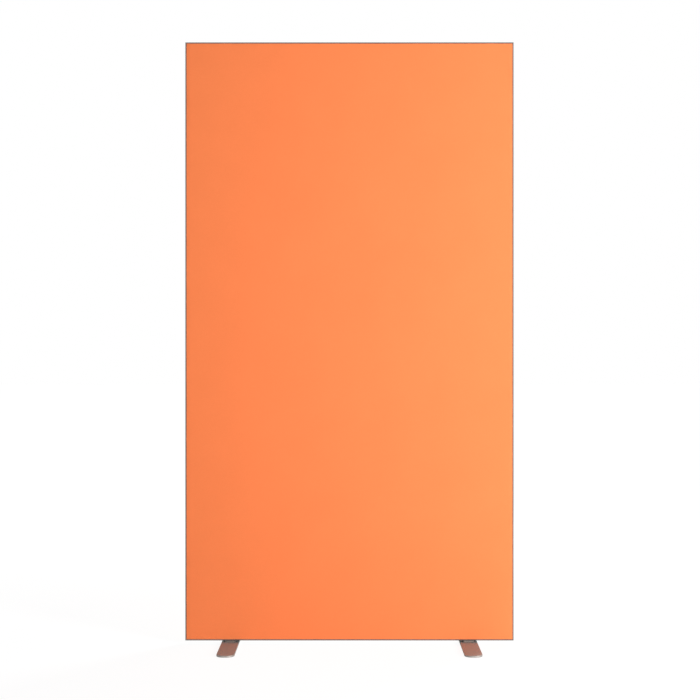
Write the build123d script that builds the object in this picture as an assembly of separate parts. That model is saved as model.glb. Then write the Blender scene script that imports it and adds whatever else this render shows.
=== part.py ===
# A free-standing partition screen: a mitred aluminium frame with a cloth cover stretched over its front
# and another over its back, on two flat steel feet that cross under it.
# Millimetres, +Z up. The front cover faces -Y, and left is -X. The origin is on the floor, under the
# middle of the panel.
import os
from build123d import *

os.makedirs("parts", exist_ok=True)

# Driving dimensions
PANEL_WIDTH = 945.0
PANEL_HEIGHT = 1722.0
PANEL_DEPTH = 35.0
FOOT_LENGTH = 400.0
FOOT_WIDTH = 50.0
FOOT_THICKNESS = 5.0
FOOT_INSET = 129.5  # from the panel's side to the middle of a foot
SPACER_THICKNESS = 5.0  # between a foot and the panel
PAD_THICKNESS = 1.5  # under a foot

# Fits that several pieces share
SLIDE_GAP = 0.2  # on each side of a block that slides into a hollow bar
LOCK_GAP = 0.4  # behind a block that its screws press against the opposite wall
THREAD_GAP = 0.05  # radial, between a screw and its thread
CLEAR_GAP = 0.3  # radial, between a screw and the plain hole that it passes through
SOFT_GAP = 0.3  # between a soft piece and what holds it
CUT_OVERRUN = 2.0

foot_bottom = PAD_THICKNESS
foot_top = foot_bottom + FOOT_THICKNESS
panel_bottom = foot_top + SPACER_THICKNESS
panel_top = panel_bottom + PANEL_HEIGHT
panel_middle = (panel_bottom + panel_top) / 2
panel_side = PANEL_WIDTH / 2
panel_face = PANEL_DEPTH / 2
foot_place = panel_side - FOOT_INSET


# The screws, each drawn along +Z with a hexagon socket in its driven end. The six-millimetre ones hold
# the feet and the corners of the frame.
SCREW_RADIUS = 3.0

UPWARD = (Align.CENTER, Align.CENTER, Align.MIN)  # centred on the Z axis, from z = 0 up
RIGHTWARD = (Align.MIN, Align.CENTER, Align.CENTER)  # centred on the X axis, from x = 0 on

clear_radius = SCREW_RADIUS + CLEAR_GAP
thread_radius = SCREW_RADIUS + THREAD_GAP


def rod(radius, start, end):
    """A round bar or cutter along Z."""
    return Pos(0, 0, start) * Cylinder(radius, end - start, align=UPWARD)


def hexagon_socket(width, depth):
    """The hollow for a hexagon key, cut up from z = 0."""
    return Pos(0, 0, -CUT_OVERRUN) * extrude(
        RegularPolygon(width / 2, 6, major_radius=False), amount=depth + CUT_OVERRUN
    )


def countersunk_screw(radius, head_radius, length, socket_width, socket_depth):
    """A screw with its head's flat at z = 0, and a 90 degree cone from there to the shank."""
    cone = Cone(head_radius, radius, head_radius - radius, align=UPWARD)
    return cone + rod(radius, 0, length) - hexagon_socket(socket_width, socket_depth)


def countersunk_hole(radius, head_radius, recess, depth):
    """The hole for such a screw, with its mouth at z = 0, and the screw's head below that by the recess."""
    mouth = head_radius + CLEAR_GAP + recess
    shank = radius + CLEAR_GAP
    cone = Cone(mouth, shank, mouth - shank, align=UPWARD)
    return cone + rod(mouth, -CUT_OVERRUN, 0) + rod(shank, 0, depth)


# The frame is cut from one aluminium extrusion. Its section, from the outer face inwards: an outer wall
# as deep as the panel, whose lips show as a thin line round the covers; a groove in the front and one in
# the back, which the covers' strips are pressed into; and a chamber for the corner connectors.
LIP_THICKNESS = 3.0
LIP_CHAMFER = 0.3
RAIL_WALL = 1.6
GROOVE_WIDTH = 3.2
CELL_WIDTH = 6.8  # the hollow between the floors of the two grooves
NOSE_SETBACK = 0.9  # from a lip's edge back to the groove's inner wall, which the cloth lies over
NOSE_CHAMFER_SHARE = 0.35  # of the rail's wall
CHAMBER_WIDTH = 14.6
CHAMBER_SETBACK = 5.5  # from a lip's edge back to the outside of the chamber

groove_inner = LIP_THICKNESS + GROOVE_WIDTH
chamber_floor = groove_inner + RAIL_WALL
chamber_roof = chamber_floor + CHAMBER_WIDTH
rail_width = chamber_roof + RAIL_WALL
cell_half = CELL_WIDTH / 2
groove_bottom = cell_half + RAIL_WALL  # as half a depth, like the values that follow
nose_half = panel_face - NOSE_SETBACK
chamber_outer_half = panel_face - CHAMBER_SETBACK
chamber_half = chamber_outer_half - RAIL_WALL
frame_side = panel_side - rail_width
frame_bottom = panel_bottom + rail_width
frame_top = panel_top - rail_width


def band(half_depth, start, end):
    """Part of the rail's section, between two distances from the outer face."""
    return Pos(0, start) * Rectangle(2 * half_depth, end - start, align=(Align.CENTER, Align.MIN))


def rail_section():
    lips = band(panel_face, 0, LIP_THICKNESS)
    groove_wall = band(nose_half, groove_inner, chamber_floor)
    section = chamfer(lips.vertices(), LIP_CHAMFER)
    section += chamfer(groove_wall.vertices(), NOSE_CHAMFER_SHARE * RAIL_WALL)
    section += band(groove_bottom, LIP_THICKNESS / 2, chamber_floor)
    section += band(chamber_outer_half, groove_inner + RAIL_WALL / 2, rail_width)
    section -= band(cell_half, LIP_THICKNESS, groove_inner)
    return section - band(chamber_half, chamber_floor, chamber_roof)


def mitred_rail(length):
    """One side of the frame, lying along X with its outer face down at z = 0."""
    bar = extrude(Plane.YZ * rail_section(), amount=length / 2, both=True)
    outer = length / 2
    inner = outer - rail_width
    mitre = Polyline((-outer, 0), (outer, 0), (inner, rail_width), (-inner, rail_width), close=True)
    return bar & extrude(Plane.XZ * make_face(mitre), amount=PANEL_DEPTH, both=True)


def drilled(rail, places, radius, start, end):
    """The rail with holes at these places along X, between two distances from its outer face."""
    for place in places:
        rail -= Pos(place, 0, 0) * rod(radius, start, end)
    return rail


# A cast connector in each corner has an arm in the chambers of both rails. One grub screw in each arm,
# turned through a hole from inside the frame, stands on the chamber's floor and locks the arm in place.
CONNECTOR_ARM = 46.0  # past the inside corner of the frame, with its screw in the middle
CONNECTOR_HEEL_RADIUS = 3.0
CONNECTOR_RIM = 2.5  # round the pockets in the faces of an arm
CONNECTOR_POCKET = 3.0  # deep
GRUB_SOCKET_WIDTH = 3.0  # across the flats
GRUB_SOCKET_DEPTH = 3.5
GRUB_RECESS = 2.0  # from the arm's face down to the driven end of its screw

connector_heel = chamber_floor + LOCK_GAP
connector_half = chamber_half - SLIDE_GAP
connector_reach = rail_width + CONNECTOR_ARM
connector_screw = rail_width + CONNECTOR_ARM / 2  # from the outer corner of the frame
turn_upright = Rot(0, 90, 0)


def pockets():
    """The pocket in each face of the arm along X, between the heel and the screw."""
    low = connector_heel + CONNECTOR_RIM
    high = chamber_roof - CONNECTOR_RIM
    end = connector_screw - SCREW_RADIUS - CONNECTOR_RIM
    web = 2 * (connector_half - CONNECTOR_POCKET)
    block = Box(end - low, PANEL_DEPTH, high - low) - Box(end - low, web, high - low)
    return Pos((low + end) / 2, 0, (low + high) / 2) * block


def corner_connector():
    """The connector of a frame corner at the origin, with one arm along +X and one along +Z."""
    heel = connector_heel
    reach = connector_reach
    roof = chamber_roof
    outline = Polyline(
        (heel, heel), (reach, heel), (reach, roof), (roof, roof), (roof, reach), (heel, reach), close=True
    )
    face = make_face(outline)
    face = fillet(face.vertices().sort_by_distance((0, 0))[0], CONNECTOR_HEEL_RADIUS)
    block = extrude(Plane.XZ * face, amount=connector_half, both=True)
    for cut in (pockets(), Pos(connector_screw, 0, 0) * rod(thread_radius, 0, rail_width)):
        block -= cut
        block -= mirror(turn_upright * cut, about=Plane.XY)
    return block


def grub_screws():
    """The two grub screws of that connector, each with its tip on the chamber's floor."""
    length = CHAMBER_WIDTH - GRUB_RECESS
    socket = Pos(0, 0, length) * Rot(180, 0, 0) * hexagon_socket(GRUB_SOCKET_WIDTH, GRUB_SOCKET_DEPTH)
    screw = rod(SCREW_RADIUS, 0, length) - socket
    lying_arm = Pos(connector_screw, 0, chamber_floor)
    upright_arm = Pos(chamber_floor, 0, connector_screw) * turn_upright
    return [lying_arm * screw, upright_arm * screw]


corners = {
    "bottom_left": Pos(-panel_side, 0, panel_bottom),
    "bottom_right": Pos(panel_side, 0, panel_bottom) * Rot(0, -90, 0),
    "top_right": Pos(panel_side, 0, panel_top) * Rot(0, 180, 0),
    "top_left": Pos(-panel_side, 0, panel_top) * Rot(0, 90, 0),
}


# The crossbar is a drawn tube between the uprights at mid-height, which stops them bowing in under the
# pull of the cloth. It sits on the spigots of two brackets, and each bracket has an ear above it and one
# below it, screwed to the upright.
CROSSBAR_HEIGHT = 24.0
CROSSBAR_DEPTH = 18.0
CROSSBAR_WALL = 1.5
BRACKET_THICKNESS = 3.0
BRACKET_EAR = 12.0
SPIGOT_LENGTH = 30.0
EAR_SCREW_RADIUS = 2.0
EAR_SCREW_LENGTH = 9.0  # under the head
EAR_HEAD_RADIUS = 3.8
EAR_HEAD_HEIGHT = 2.4
EAR_SOCKET_WIDTH = 2.5
EAR_SOCKET_DEPTH = 1.4

crossbar_half = CROSSBAR_HEIGHT / 2
ear_end = crossbar_half + BRACKET_EAR
ear_screws = (-crossbar_half - BRACKET_EAR / 2, crossbar_half + BRACKET_EAR / 2)


def crossbar():
    hollow = Rectangle(CROSSBAR_DEPTH - 2 * CROSSBAR_WALL, CROSSBAR_HEIGHT - 2 * CROSSBAR_WALL)
    section = Rectangle(CROSSBAR_DEPTH, CROSSBAR_HEIGHT) - hollow
    tube = extrude(Plane.YZ * section, amount=frame_side - BRACKET_THICKNESS, both=True)
    return Pos(0, 0, panel_middle) * tube


def bracket():
    """The left bracket, with the upright's face at x = 0 and the middle of the crossbar at z = 0."""
    fit = 2 * (CROSSBAR_WALL + SLIDE_GAP)
    flange = Box(BRACKET_THICKNESS, CROSSBAR_DEPTH, 2 * ear_end, align=RIGHTWARD)
    spigot = Pos(BRACKET_THICKNESS, 0, 0) * Box(
        SPIGOT_LENGTH, CROSSBAR_DEPTH - fit, CROSSBAR_HEIGHT - fit, align=RIGHTWARD
    )
    hole = Rot(0, 90, 0) * rod(EAR_SCREW_RADIUS + CLEAR_GAP, -CUT_OVERRUN, BRACKET_THICKNESS + CUT_OVERRUN)
    return flange + spigot - [Pos(0, 0, place) * hole for place in ear_screws]


def bracket_screws():
    """The button-headed screws through the two ears of that bracket."""
    head = rod(EAR_HEAD_RADIUS, 0, EAR_HEAD_HEIGHT) - hexagon_socket(EAR_SOCKET_WIDTH, EAR_SOCKET_DEPTH)
    shank = rod(EAR_SCREW_RADIUS, EAR_HEAD_HEIGHT, EAR_HEAD_HEIGHT + EAR_SCREW_LENGTH)
    screw = Pos(BRACKET_THICKNESS + EAR_HEAD_HEIGHT, 0, 0) * Rot(0, -90, 0) * (head + shank)
    return [Pos(0, 0, place) * screw for place in ear_screws]


bracket_sides = {
    "left": Pos(-frame_side, 0, panel_middle),
    "right": Pos(frame_side, 0, panel_middle) * Rot(0, 0, 180),
}


# Two core boards fill the frame, one under the crossbar and one over it. They keep the covers flat.
BOARD_GAP = 0.5  # to the uprights, round the brackets and their screws, and over each board

board_half = nose_half - SOFT_GAP


def core_board(bottom, top):
    """A board that stands on what is at its bottom, with its corners cut out round the brackets."""
    height = top - BOARD_GAP - bottom
    board = Pos(0, 0, bottom + height / 2) * Box(2 * (frame_side - BOARD_GAP), 2 * board_half, height)
    notch_reach = BRACKET_THICKNESS + EAR_HEAD_HEIGHT + BOARD_GAP
    notch = Box(2 * notch_reach, PANEL_DEPTH, 2 * (ear_end + BOARD_GAP))
    return board - [place * notch for place in bracket_sides.values()]


# Each foot is a flat steel bar across the panel. Two countersunk screws from below pass through it, its
# spacer and the bottom rail, into a threaded block that lies in the rail's chamber.
FOOT_END_BOW = 2.0
FOOT_CORNER_RADIUS = 20.0
FOOT_EDGE_CHAMFER = 0.6
SPACER_SIZE = 28.0  # along the panel and across it
FOOT_SCREW_SPACING = 16.0
FOOT_SCREW_HEAD = 6.0
FOOT_SCREW_RECESS = 0.2
FOOT_SOCKET_WIDTH = 4.0
FOOT_SOCKET_DEPTH = 2.5
NUT_BLOCK_THICKNESS = 8.0
NUT_BLOCK_OVERHANG = 5.0  # past each long side of the foot
NUT_BLOCK_UNUSED = 1.6  # thread above the end of a screw
PAD_EDGE = 5.0  # from a long side of the foot
PAD_LENGTH = 25.0
PAD_INSET = 30.0  # from the end of the foot to the middle of a pad

foot_screw_places = (-FOOT_SCREW_SPACING / 2, FOOT_SCREW_SPACING / 2)
foot_screw_start = foot_bottom + FOOT_SCREW_RECESS
nut_block_bottom = panel_bottom + chamber_floor
nut_block_top = nut_block_bottom + NUT_BLOCK_THICKNESS
foot_sides = {"left": -foot_place, "right": foot_place}


def foot_plate():
    side = FOOT_WIDTH / 2
    end = FOOT_LENGTH / 2
    corner = end - FOOT_END_BOW
    front = ThreePointArc((side, -corner), (0, -end), (-side, -corner))
    back = ThreePointArc((-side, corner), (0, end), (side, corner))
    plan = make_face([front, Line(front @ 1, back @ 0), back, Line(back @ 1, front @ 0)])
    plan = fillet(plan.vertices(), FOOT_CORNER_RADIUS)
    plate = Pos(0, 0, foot_bottom) * extrude(plan, amount=FOOT_THICKNESS)
    plate = chamfer(plate.faces().sort_by(Axis.Z)[-1].edges(), FOOT_EDGE_CHAMFER)
    hole = countersunk_hole(SCREW_RADIUS, FOOT_SCREW_HEAD, FOOT_SCREW_RECESS, 2 * FOOT_THICKNESS)
    return plate - [Pos(place, 0, foot_bottom) * hole for place in foot_screw_places]


def foot_spacer():
    spacer = Box(SPACER_SIZE, SPACER_SIZE, SPACER_THICKNESS, align=UPWARD)
    return Pos(0, 0, foot_top) * drilled(spacer, foot_screw_places, clear_radius, -CUT_OVERRUN, panel_bottom)


def nut_block():
    length = FOOT_WIDTH + 2 * NUT_BLOCK_OVERHANG
    block = Box(length, 2 * connector_half, NUT_BLOCK_THICKNESS, align=UPWARD)
    return Pos(0, 0, nut_block_bottom) * drilled(
        block, foot_screw_places, thread_radius, -CUT_OVERRUN, nut_block_top
    )


def foot_screws():
    length = nut_block_top - NUT_BLOCK_UNUSED - foot_screw_start
    screw = countersunk_screw(SCREW_RADIUS, FOOT_SCREW_HEAD, length, FOOT_SOCKET_WIDTH, FOOT_SOCKET_DEPTH)
    return [Pos(place, 0, foot_screw_start) * screw for place in foot_screw_places]


def foot_pads():
    place = FOOT_LENGTH / 2 - PAD_INSET
    pad = Box(FOOT_WIDTH - 2 * PAD_EDGE, PAD_LENGTH, PAD_THICKNESS, align=UPWARD)
    return [Pos(0, side * place, 0) * pad for side in (-1, 1)]


# Each cover is a cloth with its four edges turned back into the grooves. A flat silicone strip, sewn along
# each edge, is pressed into the groove, and that stretches the cloth over the frame.
CLOTH_THICKNESS = 0.6
CLOTH_SETBACK = 0.2  # behind the edge of the lips
CLOTH_FOLD_RADIUS = 0.8  # outside, where the cloth turns into the groove
CLOTH_GAP = 0.1  # between the cloth, its strip and the walls of the groove
CLOTH_END_GAP = 0.8  # from the turned edge to the bottom of the groove
STRIP_END_GAP = 2.0  # from the end of a strip to the strip round the corner

cloth_outer = LIP_THICKNESS + CLOTH_GAP
cloth_half = panel_face - CLOTH_SETBACK
cloth_back = cloth_half - CLOTH_THICKNESS
strip_outer = cloth_outer + CLOTH_THICKNESS + CLOTH_GAP
strip_inner = groove_inner - CLOTH_GAP


def slab(inset, start, end):
    """A block inset from the frame's outer faces, between two half depths on the front side."""
    return Pos(0, -(start + end) / 2, panel_middle) * Box(
        PANEL_WIDTH - 2 * inset, end - start, PANEL_HEIGHT - 2 * inset
    )


def folded(block, radius):
    """The block with the edges round its front rounded off."""
    return fillet(block.faces().sort_by(Axis.Y)[0].edges(), radius)


def cover():
    """The front cover."""
    cloth = folded(slab(cloth_outer, groove_bottom + CLOTH_END_GAP, cloth_half), CLOTH_FOLD_RADIUS)
    inside = slab(cloth_outer + CLOTH_THICKNESS, 0, cloth_back)
    return cloth - folded(inside, CLOTH_FOLD_RADIUS - CLOTH_THICKNESS)


def cover_strips():
    """The front cover's strips, by the side of the frame that holds each."""
    bottom = groove_bottom + SOFT_GAP
    top = cloth_back - SOFT_GAP
    width = strip_inner - strip_outer
    middle = (strip_outer + strip_inner) / 2
    end = strip_inner + STRIP_END_GAP
    lying = Box(PANEL_WIDTH - 2 * end, top - bottom, width)
    standing = Box(width, top - bottom, PANEL_HEIGHT - 2 * end)
    place_y = -(bottom + top) / 2
    return {
        "top": Pos(0, place_y, panel_top - middle) * lying,
        "bottom": Pos(0, place_y, panel_bottom + middle) * lying,
        "left": Pos(middle - panel_side, place_y, panel_middle) * standing,
        "right": Pos(panel_side - middle, place_y, panel_middle) * standing,
    }


# The whole screen
def write(name, *solids):
    shape = solids[0] if len(solids) == 1 else Compound(list(solids))
    export_step(shape, f"parts/{name}.step")


def frame_rail(length):
    """A rail with the holes through which its two grub screws are turned."""
    ends = (connector_screw - length / 2, length / 2 - connector_screw)
    rail = mitred_rail(length)
    return drilled(rail, ends, clear_radius, chamber_roof - CUT_OVERRUN, rail_width + CUT_OVERRUN)


foot_holes = [side + place for side in foot_sides.values() for place in foot_screw_places]
level_rail = frame_rail(PANEL_WIDTH)
bottom_rail = drilled(level_rail, foot_holes, clear_radius, -CUT_OVERRUN, chamber_floor + CUT_OVERRUN)
ear_thread = EAR_SCREW_RADIUS + THREAD_GAP
upright = drilled(
    frame_rail(PANEL_HEIGHT), ear_screws, ear_thread, chamber_roof - CUT_OVERRUN, rail_width + CUT_OVERRUN
)
write("top_rail", Pos(0, 0, panel_top) * Rot(0, 180, 0) * level_rail)
write("bottom_rail", Pos(0, 0, panel_bottom) * bottom_rail)
write("left_upright", Pos(-panel_side, 0, panel_middle) * Rot(0, 90, 0) * upright)
write("right_upright", Pos(panel_side, 0, panel_middle) * Rot(0, -90, 0) * upright)

for name, place in corners.items():
    write(f"{name}_connector", place * corner_connector())
write("connector_screws", *[place * screw for place in corners.values() for screw in grub_screws()])

write("crossbar", crossbar())
for name, place in bracket_sides.items():
    write(f"{name}_crossbar_bracket", place * bracket())
write("bracket_screws", *[place * screw for place in bracket_sides.values() for screw in bracket_screws()])

write("lower_core_board", core_board(frame_bottom, panel_middle - crossbar_half))
write("upper_core_board", core_board(panel_middle + crossbar_half, frame_top))

for name, side in foot_sides.items():
    shift = Pos(side, 0, 0)
    write(f"{name}_foot", shift * foot_plate())
    write(f"{name}_foot_spacer", shift * foot_spacer())
    write(f"{name}_foot_nut_block", shift * nut_block())
    write(f"{name}_foot_pads", *[shift * pad for pad in foot_pads()])
write("foot_screws", *[Pos(side, 0, 0) * screw for side in foot_sides.values() for screw in foot_screws()])

write("front_cover", cover())
write("rear_cover", mirror(cover(), about=Plane.XZ))
for name, strip in cover_strips().items():
    write(f"front_{name}_strip", strip)
    write(f"rear_{name}_strip", mirror(strip, about=Plane.XZ))
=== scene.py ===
import math

import bpy
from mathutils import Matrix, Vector


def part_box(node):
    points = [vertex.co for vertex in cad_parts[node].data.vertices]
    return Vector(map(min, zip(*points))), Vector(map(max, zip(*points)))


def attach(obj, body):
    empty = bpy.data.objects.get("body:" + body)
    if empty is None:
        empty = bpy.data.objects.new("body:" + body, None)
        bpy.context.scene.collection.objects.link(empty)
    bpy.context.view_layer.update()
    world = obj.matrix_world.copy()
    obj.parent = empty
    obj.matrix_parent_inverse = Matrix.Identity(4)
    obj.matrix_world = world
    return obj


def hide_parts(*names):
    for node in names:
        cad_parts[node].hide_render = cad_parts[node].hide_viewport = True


# A free-standing partition screen: one flat panel with an orange cloth cover on each side, held in a thin
# aluminium frame, on two flat steel feet that cross under it. Metres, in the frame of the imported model:
# +Z up, front towards -Y, and the floor at z = 0.
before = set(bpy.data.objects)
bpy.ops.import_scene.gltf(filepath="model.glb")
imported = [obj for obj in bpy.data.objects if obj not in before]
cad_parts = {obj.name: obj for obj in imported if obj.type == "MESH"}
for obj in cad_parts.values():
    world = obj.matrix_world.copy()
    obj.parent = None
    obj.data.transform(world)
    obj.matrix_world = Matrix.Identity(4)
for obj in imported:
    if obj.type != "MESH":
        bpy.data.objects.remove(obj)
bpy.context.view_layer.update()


# The camera stands level in front of the panel, a little lower than its middle, and looks straight at it
# through a long lens, so that of the panel only the front shows.
CAMERA_PLACE = (0.0016, -4.0950, 0.8478)
CAMERA_LENS = 72.84  # millimetres, and so is the sensor's width
CAMERA_SENSOR = 36
CAMERA_RANGE = 100

bpy.ops.object.camera_add(location=CAMERA_PLACE, rotation=(math.radians(90), 0, 0))
camera = bpy.context.object
camera.name = "camera"
camera.data.sensor_width = CAMERA_SENSOR
camera.data.lens = CAMERA_LENS
camera.data.clip_end = CAMERA_RANGE
bpy.context.scene.camera = camera


# The frame is an anodised aluminium extrusion, cut and mitred into two rails and two uprights. Its outer
# wall shows as a thin line round each cover, and on the sides, the top and the bottom it shows whole. The
# die leaves fine lines along each bar, and the anodising a faint cloudiness.
FRAME_COLOURS = ((0.203, 0.189, 0.175), (0.234, 0.219, 0.203))  # the darkest and the lightest
FRAME_ROUGHNESS = (0.24, 0.34)
DIE_LINE_WIDTH = 0.0004
DIE_LINE_LENGTH = 0.4
DIE_LINE_DEPTH = 0.00001
DIE_LINE_SHARE = 0.6  # of the bars' variation
ANODISING_CLOUD = 0.06
ANODISING_CLOUD_SHARE = 0.4
NOISE_DETAIL = 2.0  # octaves
NOISE_LOW = 0.3  # nearly all of a noise lies between this and the next
NOISE_HIGH = 0.7


def feed(tree, socket, value):
    """Gives an input this value, or links it to the output that feeds it."""
    if isinstance(value, bpy.types.NodeSocket):
        tree.links.new(value, socket)
    else:
        socket.default_value = value


def add_node(tree, kind, inputs=None, **settings):
    """A new node with its settings. Each input is a value or the output that feeds it."""
    node = tree.nodes.new(kind)
    for name, value in settings.items():
        setattr(node, name, value)
    for name, value in (inputs or {}).items():
        feed(tree, node.inputs[name], value)
    return node


def calculate(tree, operation, first, second):
    """What a Math node makes of two values, each a number or an output."""
    node = add_node(tree, "ShaderNodeMath", operation=operation)
    for socket, value in zip(node.inputs, (first, second)):
        feed(tree, socket, value)
    return node.outputs["Value"]


def noise(tree, size, detail=NOISE_DETAIL):
    """Noise on Object coordinates, with grains of this size along X, Y and Z."""
    place = add_node(tree, "ShaderNodeTexCoord").outputs["Object"]
    scale = [1 / length for length in size]
    scaled = add_node(tree, "ShaderNodeMapping", {"Vector": place, "Scale": scale}).outputs["Vector"]
    texture = add_node(tree, "ShaderNodeTexNoise", {"Vector": scaled, "Scale": 1.0, "Detail": detail})
    return texture.outputs["Fac"]


def blend_colours(tree, factor, dark, light):
    """A colour that goes from dark to light as a noise does."""
    ramp = add_node(tree, "ShaderNodeValToRGB", {"Fac": factor})
    for stop, place, colour in zip(ramp.color_ramp.elements, (NOISE_LOW, NOISE_HIGH), (dark, light)):
        stop.position = place
        stop.color = (*colour, 1)
    return ramp.outputs["Color"]


def blend_values(tree, factor, low, high, start=NOISE_LOW, end=NOISE_HIGH):
    """A number that goes from low to high as the factor goes from start to end."""
    sizes = {"Value": factor, "From Min": start, "From Max": end, "To Min": low, "To Max": high}
    return add_node(tree, "ShaderNodeMapRange", sizes).outputs["Result"]


def relief(tree, height, depth):
    """The normal of a surface with this relief, as deep as this in metres."""
    inputs = {"Height": height, "Strength": 1.0, "Distance": depth}
    return add_node(tree, "ShaderNodeBump", inputs).outputs["Normal"]


def new_material(name, **constants):
    """A material with these constants on its shader, its node tree and that shader."""
    material = bpy.data.materials.new(name)
    material.use_nodes = True
    shader = material.node_tree.nodes["Principled BSDF"]
    for socket, value in constants.items():
        shader.inputs[socket.replace("_", " ")].default_value = value
    return material, material.node_tree, shader


def connect(tree, shader, **outputs):
    """Links a shader's inputs to the outputs that feed them."""
    for socket, output in outputs.items():
        tree.links.new(output, shader.inputs[socket.replace("_", " ")])


def dress(material, *names):
    """Gives CAD nodes their finish."""
    for name in names:
        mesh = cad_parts[name].data
        mesh.materials.clear()
        mesh.materials.append(material)


def extrusion_finish(name, along):
    """Anodised aluminium whose die lines run along this axis: 0 for X and 2 for Z."""
    material, tree, shader = new_material(name, Metallic=1.0)
    line_size = [DIE_LINE_WIDTH] * 3
    line_size[along] = DIE_LINE_LENGTH
    lines = noise(tree, line_size)
    clouds = noise(tree, [ANODISING_CLOUD] * 3)
    line_part = calculate(tree, "MULTIPLY", lines, DIE_LINE_SHARE)
    cloud_part = calculate(tree, "MULTIPLY", clouds, ANODISING_CLOUD_SHARE)
    shade = calculate(tree, "ADD", line_part, cloud_part)
    connect(
        tree,
        shader,
        Base_Color=blend_colours(tree, shade, *FRAME_COLOURS),
        Roughness=blend_values(tree, shade, *FRAME_ROUGHNESS),
        Normal=relief(tree, lines, DIE_LINE_DEPTH),
    )
    return material


dress(extrusion_finish("anodised_rail", 0), "top_rail", "bottom_rail")
dress(extrusion_finish("anodised_upright", 2), "left_upright", "right_upright")


# The corner connectors and the crossbar's brackets are die-cast aluminium, with the dull, faintly mottled
# skin of a casting. They lie inside the frame.
CASTING_COLOURS = ((0.30, 0.30, 0.31), (0.42, 0.42, 0.43))
CASTING_ROUGHNESS = (0.45, 0.65)
CASTING_GRAIN = 0.0015
CASTING_DEPTH = 0.00006
FINE_DETAIL = 4.0  # octaves


def metal_finish(name, colours, roughness, grain, depth, **constants):
    """A metal mottled by grains of this size along X, Y and Z, and of this depth."""
    material, tree, shader = new_material(name, **{"Metallic": 1.0, **constants})
    grains = noise(tree, grain, FINE_DETAIL)
    connect(
        tree,
        shader,
        Base_Color=blend_colours(tree, grains, *colours),
        Roughness=blend_values(tree, grains, *roughness),
        Normal=relief(tree, grains, depth),
    )
    return material


grain = [CASTING_GRAIN] * 3
casting = metal_finish("die_cast_aluminium", CASTING_COLOURS, CASTING_ROUGHNESS, grain, CASTING_DEPTH)
connectors = [f"{level}_{side}_connector" for level in ("top", "bottom") for side in ("left", "right")]
dress(casting, *connectors, "left_crossbar_bracket", "right_crossbar_bracket")


# The crossbar is a drawn aluminium tube at mid-height, left as it comes from the mill, with drawing lines
# along X. Its ends sit on the brackets' spigots.
MILL_COLOURS = ((0.46, 0.46, 0.47), (0.58, 0.58, 0.59))
MILL_ROUGHNESS = (0.28, 0.42)
MILL_LINE = (0.25, 0.0005, 0.0005)
MILL_DEPTH = 0.00002

dress(metal_finish("mill_aluminium", MILL_COLOURS, MILL_ROUGHNESS, MILL_LINE, MILL_DEPTH), "crossbar")


# The screws and the threaded blocks are steel with bright zinc plating, slightly blue and spangled. They
# lock the connectors, hold the brackets, and clamp the feet to the bottom rail.
ZINC_COLOURS = ((0.46, 0.46, 0.48), (0.62, 0.63, 0.66))
ZINC_ROUGHNESS = (0.22, 0.38)
ZINC_SPANGLE = 0.0012
ZINC_DEPTH = 0.00001

zinc = metal_finish("zinc_plated_steel", ZINC_COLOURS, ZINC_ROUGHNESS, [ZINC_SPANGLE] * 3, ZINC_DEPTH)
dress(zinc, "connector_screws", "bracket_screws", "foot_screws")
dress(zinc, "left_foot_nut_block", "right_foot_nut_block")


# Two boards of brown paper honeycomb fill the frame, one under the crossbar and one over it, and keep the
# covers flat. Long fibres run in the paper.
PAPER_COLOURS = ((0.31, 0.20, 0.11), (0.42, 0.29, 0.17))
PAPER_ROUGHNESS = 0.9
PAPER_FIBRE = (0.012, 0.0008, 0.0008)
PAPER_DEPTH = 0.00005

paper, tree, shader = new_material("core_paper", Roughness=PAPER_ROUGHNESS)
fibres = noise(tree, PAPER_FIBRE, FINE_DETAIL)
connect(
    tree,
    shader,
    Base_Color=blend_colours(tree, fibres, *PAPER_COLOURS),
    Normal=relief(tree, fibres, PAPER_DEPTH),
)
dress(paper, "lower_core_board", "upper_core_board")


# Each cover is a plain-woven polyester cloth, stretched flat over the frame. Its edges turn back into
# the groove behind the frame's lips, where silicone strips sewn to them hold it, and their pull leaves
# it very slightly uneven close by. The rear cover is the same piece turned round.
CLOTH_COLOURS = ((0.88, 0.214, 0.070), (0.94, 0.236, 0.079))
CLOTH_LOOK = {
    "Roughness": 0.9,
    "Specular_IOR_Level": 0.15,
    "Sheen_Weight": 0.08,
    "Sheen_Roughness": 0.5,
    "Sheen_Tint": (1.0, 0.62, 0.42, 1.0),
}
CLOTH_THICKNESS = 0.0006
CLOTH_FOLD_RADIUS = 0.0008
FOLD_SEGMENTS = 5
CLOTH_GRID = 0.012  # between the mesh's rows of points
CLOTH_SMOOTHING = 40  # degrees, the sharpest bend that is shaded smooth
PUCKER_SIZE = 0.03
PUCKER_HEIGHT = 0.00012
PUCKER_REACH = 0.06  # from the cover's edge
THREAD_PITCH = 0.0007
THREAD_RELIEF = 0.00012
THREAD_DRIFT = 2.5  # radians that a thread wanders by
THREAD_DRIFT_DETAIL = 1.0  # octaves
THREAD_DRIFT_SCALE = 0.06
SLUB_LENGTH = 0.009  # of a thicker or paler stretch of a thread
SHADE_CLOUD = 0.15
SLUB_SHARE = 0.35  # of the cloth's shade, from each of its two sets of threads
CLOUD_SHARE = 0.3
WEAVE_SHARE = 0.4
WAVE_CYCLE = math.tau / 20  # of a Wave Texture whose scale is 1
WAVE_MIDDLE = 0.5  # of a Wave Texture's values
SAME_WAY = 0.9  # the least cosine between two directions that count as the same

cover_low, cover_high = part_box("front_cover")
cover_size = cover_high - cover_low
cover_middle = (cover_low + cover_high) / 2


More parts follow.
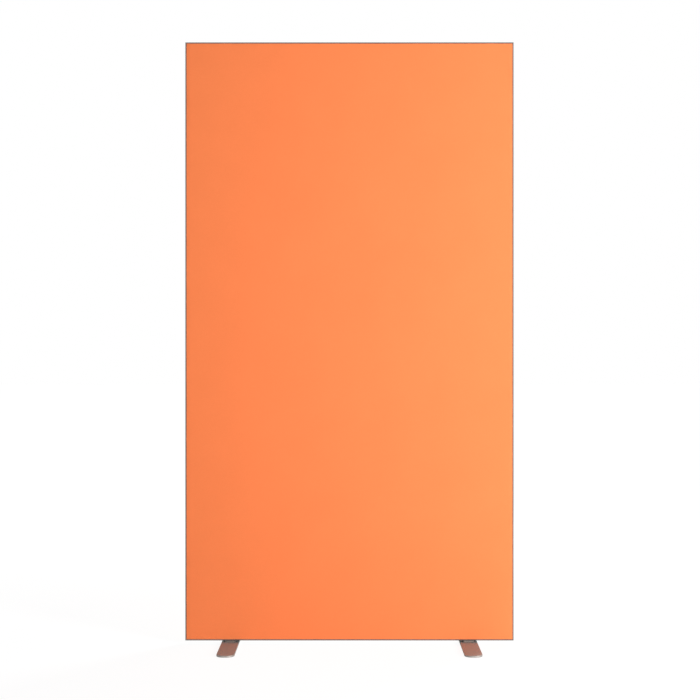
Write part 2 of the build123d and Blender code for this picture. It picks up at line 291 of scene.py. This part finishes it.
def add_box(name, size, middle):
    """A new cube of this size, selected alone, with its place in its mesh."""
    bpy.ops.object.select_all(action="DESELECT")
    bpy.ops.mesh.primitive_cube_add(size=1, location=middle)
    piece = bpy.context.object
    piece.name = name
    piece.data.name = name
    piece.scale = size
    bpy.ops.object.transform_apply(location=True, rotation=True, scale=True)
    return piece


def pick(piece, kind, wanted):
    """In edit mode, selects only the edges or faces for which wanted is true."""
    bpy.ops.object.mode_set(mode="OBJECT")
    groups = {"VERT": piece.data.vertices, "EDGE": piece.data.edges, "FACE": piece.data.polygons}
    for group in groups.values():
        for item in group:
            item.select = False
    for item in groups[kind]:
        item.select = wanted(item)
    bpy.ops.object.mode_set(mode="EDIT")
    bpy.ops.mesh.select_mode(type=kind)


def faces_towards(direction):
    """A test for a face that looks this way."""
    return lambda face: face.normal.dot(Vector(direction)) > SAME_WAY


def ends(piece, edge):
    """The two ends of an edge."""
    return [piece.data.vertices[index].co for index in edge.vertices]


def add_row(place, across):
    """In edit mode, adds points all round a piece where this plane cuts it."""
    bpy.ops.mesh.select_all(action="SELECT")
    bpy.ops.mesh.bisect(plane_co=place, plane_no=across)


def apply_modifier(piece, kind, **settings):
    """Shapes the active piece with a modifier."""
    modifier = piece.modifiers.new(kind.lower(), kind)
    for name, value in settings.items():
        setattr(modifier, name, value)
    bpy.ops.object.modifier_apply(modifier=modifier.name)


def copy_piece(name):
    """A copy of the active piece with a mesh of its own, selected alone."""
    bpy.ops.object.duplicate()
    piece = bpy.context.object
    piece.name = name
    piece.data.name = name
    return piece


def has_front_end(edge):
    """Whether an edge of the cover starts or ends at its front."""
    return min(point.y for point in ends(front_cover, edge)) < cover_middle.y


front_cover = add_box("front_cloth", cover_size, cover_middle)
pick(front_cover, "FACE", faces_towards((0, 1, 0)))
bpy.ops.mesh.delete(type="FACE")
pick(front_cover, "EDGE", has_front_end)
bpy.ops.mesh.bevel(offset=CLOTH_FOLD_RADIUS, segments=FOLD_SEGMENTS, affect="EDGES")
for axis in (0, 2):
    across = Vector((0, 0, 0))
    across[axis] = 1
    rows = round(cover_size[axis] / CLOTH_GRID)
    for row in range(1, rows):
        place = Vector(cover_middle)
        place[axis] = cover_low[axis] + cover_size[axis] * row / rows
        add_row(place, across)
bpy.ops.object.mode_set(mode="OBJECT")

near_edge = front_cover.vertex_groups.new(name="near_edge")
for point in front_cover.data.vertices:
    inset = min(
        point.co.x - cover_low.x,
        cover_high.x - point.co.x,
        point.co.z - cover_low.z,
        cover_high.z - point.co.z,
    )
    fade = max(0.0, 1 - inset / PUCKER_REACH)
    if inset > CLOTH_FOLD_RADIUS:
        near_edge.add([point.index], fade * fade, "REPLACE")
puckers = bpy.data.textures.new("puckers", "CLOUDS")
puckers.noise_scale = PUCKER_SIZE
apply_modifier(
    front_cover,
    "DISPLACE",
    texture=puckers,
    vertex_group=near_edge.name,
    strength=PUCKER_HEIGHT,
)
front_cover.vertex_groups.clear()
apply_modifier(front_cover, "SOLIDIFY", thickness=CLOTH_THICKNESS, offset=-1)
bpy.ops.object.shade_smooth_by_angle(angle=math.radians(CLOTH_SMOOTHING))

cloth, tree, shader = new_material("orange_cloth", **CLOTH_LOOK)
place = add_node(tree, "ShaderNodeTexCoord").outputs["Object"]
threads = []
for direction in ("X", "Z"):
    inputs = {
        "Vector": place,
        "Scale": WAVE_CYCLE / (2 * THREAD_PITCH),
        "Distortion": THREAD_DRIFT,
        "Detail": THREAD_DRIFT_DETAIL,
        "Detail Scale": THREAD_DRIFT_SCALE,
    }
    wave = add_node(tree, "ShaderNodeTexWave", inputs, bands_direction=direction)
    threads.append(calculate(tree, "SUBTRACT", wave.outputs["Fac"], WAVE_MIDDLE))
weave = calculate(tree, "MULTIPLY", *threads)
warp_slubs = noise(tree, (THREAD_PITCH, THREAD_PITCH, SLUB_LENGTH))
weft_slubs = noise(tree, (SLUB_LENGTH, THREAD_PITCH, THREAD_PITCH))
slubs = calculate(tree, "MULTIPLY", calculate(tree, "ADD", warp_slubs, weft_slubs), SLUB_SHARE)
clouds = calculate(tree, "MULTIPLY", noise(tree, [SHADE_CLOUD] * 3), CLOUD_SHARE)
weave_part = calculate(tree, "MULTIPLY", weave, WEAVE_SHARE)
shade = calculate(tree, "ADD", calculate(tree, "ADD", slubs, clouds), weave_part)
connect(
    tree,
    shader,
    Base_Color=blend_colours(tree, shade, *CLOTH_COLOURS),
    Normal=relief(tree, calculate(tree, "ADD", weave, slubs), THREAD_RELIEF),
)
front_cover.data.materials.append(cloth)

rear_cover = copy_piece("rear_cloth")
bpy.ops.transform.rotate(value=math.pi, orient_axis="Z", center_override=(0, 0, 0))
bpy.ops.object.transform_apply(location=True, rotation=True, scale=True)

covers = {"front": front_cover, "rear": rear_cover}
strips = {}
for face, cover in covers.items():
    strips[face] = [f"{face}_{side}_strip" for side in ("top", "bottom", "left", "right")]
    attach(cover, "root")
    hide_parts(f"{face}_cover")


# The strips are extruded silicone, milky and slightly dusty. One is sewn along each edge of a cover and
# pressed into the frame's groove with it, so they lie under the cloth.
SILICONE_COLOURS = ((0.60, 0.59, 0.56), (0.72, 0.71, 0.68))
SILICONE_ROUGHNESS = (0.35, 0.6)
SILICONE_MILKINESS = 0.3
SILICONE_LIGHT_REACH = (0.002, 0.002, 0.002)  # of red, green and blue
SILICONE_DUST = 0.004

silicone, tree, shader = new_material(
    "milky_silicone", Subsurface_Weight=SILICONE_MILKINESS, Subsurface_Radius=SILICONE_LIGHT_REACH
)
dust = noise(tree, [SILICONE_DUST] * 3, FINE_DETAIL)
connect(
    tree,
    shader,
    Base_Color=blend_colours(tree, dust, *SILICONE_COLOURS),
    Roughness=blend_values(tree, dust, *SILICONE_ROUGHNESS),
)
dress(silicone, *strips["front"], *strips["rear"])


# The feet are flat steel bars with slightly bowed ends, rounded corners and softly broken edges, in a
# satin metallic paint. Two countersunk screws from below hold each one to the panel, through a spacer of
# the same steel. The spacer's paint is darker and warmer as painted shade of the narrow gap under the
# panel.
FOOT_COLOURS = ((0.316, 0.293, 0.274), (0.346, 0.323, 0.304))
# The spacer's darker, warmer colours are painted shade of the gap under the panel.
SPACER_COLOURS_AND_PAINTED_SHADE = ((0.206, 0.171, 0.152), (0.225, 0.186, 0.166))
PAINT_ROUGHNESS = (0.54, 0.64)
PAINT_LOOK = {"Metallic": 0.75, "Specular_IOR_Level": 0.3, "Specular_Tint": (0.8, 0.8, 0.8, 1)}
PAINT_GRAIN = 0.0006
PAINT_GRAIN_DEPTH = 0.000008
FOOT_CORNER_RADIUS = 0.020
FOOT_EDGE_RADIUS = 0.0006
FOOT_SMOOTHING = 35  # degrees
CORNER_SEGMENTS = 12
EDGE_SEGMENTS = 4
SAME_LEVEL = 0.0001  # the most by which the height of two points that lie level differs
END_BOW = 0.002
END_STEPS = 2  # of the bow, on each side of the foot's middle
END_SPREAD = 0.9  # of the straight stretch between its corners, which the steps take up
SCREW_HEAD_RADIUS = 0.006
SCREW_RADIUS = 0.003
SCREW_GAP = 0.0003
SCREW_PLACE = 0.008  # from the middle of the foot
HOLE_SIDES = 48
CUT_OVERRUN = 0.001

foot_low, foot_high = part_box("left_foot")
foot_size = foot_high - foot_low
foot_middle = (foot_low + foot_high) / 2
left_foot = add_box("left_foot_bar", foot_size, foot_middle)


def runs_upright(edge):
    """Whether an edge of the foot runs from its underside to its top."""
    low, high = ends(left_foot, edge)
    return abs(low.z - high.z) > foot_size.z / 2


def lies_at(level):
    """A test for an edge of the foot that lies at this height."""
    return lambda edge: all(abs(point.z - level) < SAME_LEVEL for point in ends(left_foot, edge))


pick(left_foot, "EDGE", runs_upright)
bpy.ops.mesh.bevel(offset=FOOT_CORNER_RADIUS, segments=CORNER_SEGMENTS, affect="EDGES")
for level in (foot_high.z, foot_low.z):
    pick(left_foot, "EDGE", lies_at(level))
    bpy.ops.mesh.bevel(offset=FOOT_EDGE_RADIUS, segments=EDGE_SEGMENTS, affect="EDGES")
half_end = foot_size.x / 2 - FOOT_CORNER_RADIUS
for step in range(-END_STEPS, END_STEPS + 1):
    offset = END_SPREAD * half_end * step / END_STEPS
    add_row(foot_middle + Vector((offset, 0, 0)), (1, 0, 0))
bpy.ops.object.mode_set(mode="OBJECT")
for point in left_foot.data.vertices:
    aside = (point.co.x - foot_middle.x) / (foot_size.x / 2)
    point.co.y -= math.copysign(END_BOW * aside * aside, point.co.y)

mouth = SCREW_HEAD_RADIUS + 2 * SCREW_GAP
shank = SCREW_RADIUS + SCREW_GAP
sink = mouth - shank  # as deep as it narrows
for side in (-1, 1):
    bpy.ops.object.select_all(action="DESELECT")
    bpy.ops.mesh.primitive_cone_add(
        vertices=HOLE_SIDES,
        radius1=mouth,
        radius2=shank,
        depth=sink,
        location=(foot_middle.x + side * SCREW_PLACE, 0, foot_low.z + sink / 2),
    )
    cutter = bpy.context.object
    pick(cutter, "FACE", faces_towards((0, 0, 1)))
    bpy.ops.mesh.extrude_region_move(TRANSFORM_OT_translate={"value": (0, 0, foot_size.z)})
    pick(cutter, "FACE", faces_towards((0, 0, -1)))
    bpy.ops.mesh.extrude_region_move(TRANSFORM_OT_translate={"value": (0, 0, -CUT_OVERRUN)})
    bpy.ops.object.mode_set(mode="OBJECT")
    bpy.ops.object.select_all(action="DESELECT")
    left_foot.select_set(True)
    bpy.context.view_layer.objects.active = left_foot
    apply_modifier(left_foot, "BOOLEAN", object=cutter, operation="DIFFERENCE", solver="EXACT")
    bpy.data.objects.remove(cutter)
bpy.ops.object.shade_smooth_by_angle(angle=math.radians(FOOT_SMOOTHING))

paint = (PAINT_ROUGHNESS, [PAINT_GRAIN] * 3, PAINT_GRAIN_DEPTH)
satin_paint = metal_finish("satin_paint", FOOT_COLOURS, *paint, **PAINT_LOOK)
# The spacer's paint carries painted shade: it is darker and warmer than the foot's.
dark_paint_and_painted_shade = metal_finish("dark_paint_and_painted_shade", SPACER_COLOURS_AND_PAINTED_SHADE, *paint, **PAINT_LOOK)
left_foot.data.materials.append(satin_paint)
dress(dark_paint_and_painted_shade, "left_foot_spacer", "right_foot_spacer")

right_foot = copy_piece("right_foot_bar")
bpy.ops.transform.translate(value=(-2 * foot_middle.x, 0, 0))
bpy.ops.object.transform_apply(location=True, rotation=True, scale=True)
for foot, node in ((left_foot, "left_foot"), (right_foot, "right_foot")):
    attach(foot, "root")
    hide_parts(node)


# The pads under the ends of each foot are black rubber with a fine matt grain, cut from thin sheet and
# stuck on. They keep the painted steel off the floor.
RUBBER_COLOURS = ((0.030, 0.030, 0.031), (0.055, 0.053, 0.050))  # new and worn
RUBBER_ROUGHNESS = (0.7, 0.9)
RUBBER_GRAIN = 0.0009
RUBBER_DEPTH = 0.00008

rubber, tree, shader = new_material("black_rubber")
grains = noise(tree, [RUBBER_GRAIN] * 3, FINE_DETAIL)
connect(
    tree,
    shader,
    Base_Color=blend_colours(tree, grains, *RUBBER_COLOURS),
    Roughness=blend_values(tree, grains, *RUBBER_ROUGHNESS),
    Normal=relief(tree, grains, RUBBER_DEPTH),
)
dress(rubber, "left_foot_pads", "right_foot_pads")


# The studio: a white floor under an even white sky, a large soft lamp to the right of the camera, and a
# weaker one behind the screen for its other side. What the camera sees of the floor and the sky is white,
# and only the deepest part of the screen's shadow shows on it.
FLOOR_SIZE = 60.0
FLOOR_COLOUR = (0.8, 0.8, 0.8, 1)  # that lights the screen from below
FLOOR_SHADOW_COLOUR = (0.12, 0.12, 0.12, 1)  # that the camera sees over the floor's glow
FLOOR_GLOW = (0.93, 0.985)  # near the screen and far from it
FLOOR_GLOW_REACH = (1.0, 3.5)  # from the middle of the screen
SKY_COLOUR = (1, 1, 1, 1)
SKY_LIGHT = 0.17  # that falls on the screen
SKY_GLOW = 1.0  # that the camera sees
KEY_PLACE = (2.8, -2.8, 1.1)
KEY_POWER = 197.0
KEY_SIZE = (1.0, 1.2)
BACK_PLACE = (1.8, 2.6, 1.6)
BACK_POWER = 110.0
BACK_SIZE = (1.2, 1.2)
LAMP_AIM = Vector((0, 0, 0.9))

# The lamps leave out the bars of the frame, where they would mirror as glaring bands along the screen's
# sides. Only the white floor and sky light the bars.
frame_bars = bpy.data.collections.new("frame_bars")
for name in ("top_rail", "bottom_rail", "left_upright", "right_upright"):
    frame_bars.objects.link(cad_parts[name])
for item in frame_bars.collection_objects:
    item.light_linking.link_state = "EXCLUDE"


def seen_directly(tree):
    """1 for a ray from the camera, or one that comes off a mirror or through glass."""
    path = add_node(tree, "ShaderNodeLightPath").outputs
    shiny = calculate(tree, "ADD", path["Is Glossy Ray"], path["Is Transmission Ray"])
    total = calculate(tree, "ADD", path["Is Camera Ray"], shiny)
    return calculate(tree, "MINIMUM", total, 1.0)


def mix_shaders(tree, factor, first, second):
    """The first shader where the factor is 0, and the second where it is 1."""
    mixed = add_node(tree, "ShaderNodeMixShader", {"Fac": factor})
    tree.links.new(first, mixed.inputs[1])
    tree.links.new(second, mixed.inputs[2])
    return mixed.outputs["Shader"]


def soft_lamp(name, place, power, size):
    """A rectangular lamp that looks at the screen, of this power in watts and of this size."""
    turn = (LAMP_AIM - Vector(place)).to_track_quat("-Z", "Y").to_euler()
    bpy.ops.object.light_add(type="AREA", location=place, rotation=turn)
    lamp = bpy.context.object
    lamp.name = name
    lamp.data.energy = power
    lamp.data.shape = "RECTANGLE"
    lamp.data.size, lamp.data.size_y = size
    lamp.visible_camera = False
    lamp.light_linking.receiver_collection = frame_bars


bpy.ops.object.select_all(action="DESELECT")
bpy.ops.mesh.primitive_plane_add(size=FLOOR_SIZE)
floor = bpy.context.object
floor.name = "floor"
floor_paint = bpy.data.materials.new("white_floor")
floor_paint.use_nodes = True
tree = floor_paint.node_tree
tree.nodes.clear()
matt = add_node(tree, "ShaderNodeBsdfDiffuse", {"Color": FLOOR_COLOUR}).outputs["BSDF"]
shaded = add_node(tree, "ShaderNodeBsdfDiffuse", {"Color": FLOOR_SHADOW_COLOUR}).outputs["BSDF"]
place = add_node(tree, "ShaderNodeTexCoord").outputs["Object"]
reach = add_node(tree, "ShaderNodeVectorMath", {"Vector": place}, operation="LENGTH").outputs["Value"]
glow_strength = blend_values(tree, reach, *FLOOR_GLOW, *FLOOR_GLOW_REACH)
glow = add_node(tree, "ShaderNodeEmission", {"Strength": glow_strength}).outputs["Emission"]
white = add_node(tree, "ShaderNodeAddShader")
tree.links.new(shaded, white.inputs[0])
tree.links.new(glow, white.inputs[1])
floor_shader = mix_shaders(tree, seen_directly(tree), matt, white.outputs["Shader"])
add_node(tree, "ShaderNodeOutputMaterial", {"Surface": floor_shader})
floor.data.materials.append(floor_paint)

sky = bpy.data.worlds.new("white_sky")
sky.use_nodes = True
tree = sky.node_tree
tree.nodes.clear()
dim = add_node(tree, "ShaderNodeBackground", {"Color": SKY_COLOUR, "Strength": SKY_LIGHT})
bright = add_node(tree, "ShaderNodeBackground", {"Color": SKY_COLOUR, "Strength": SKY_GLOW})
sky_shader = mix_shaders(tree, seen_directly(tree), dim.outputs["Background"], bright.outputs["Background"])
add_node(tree, "ShaderNodeOutputWorld", {"Surface": sky_shader})
bpy.context.scene.world = sky

soft_lamp("key_lamp", KEY_PLACE, KEY_POWER, KEY_SIZE)
soft_lamp("back_lamp", BACK_PLACE, BACK_POWER, BACK_SIZE)
bpy.context.scene.view_settings.view_transform = "Standard"
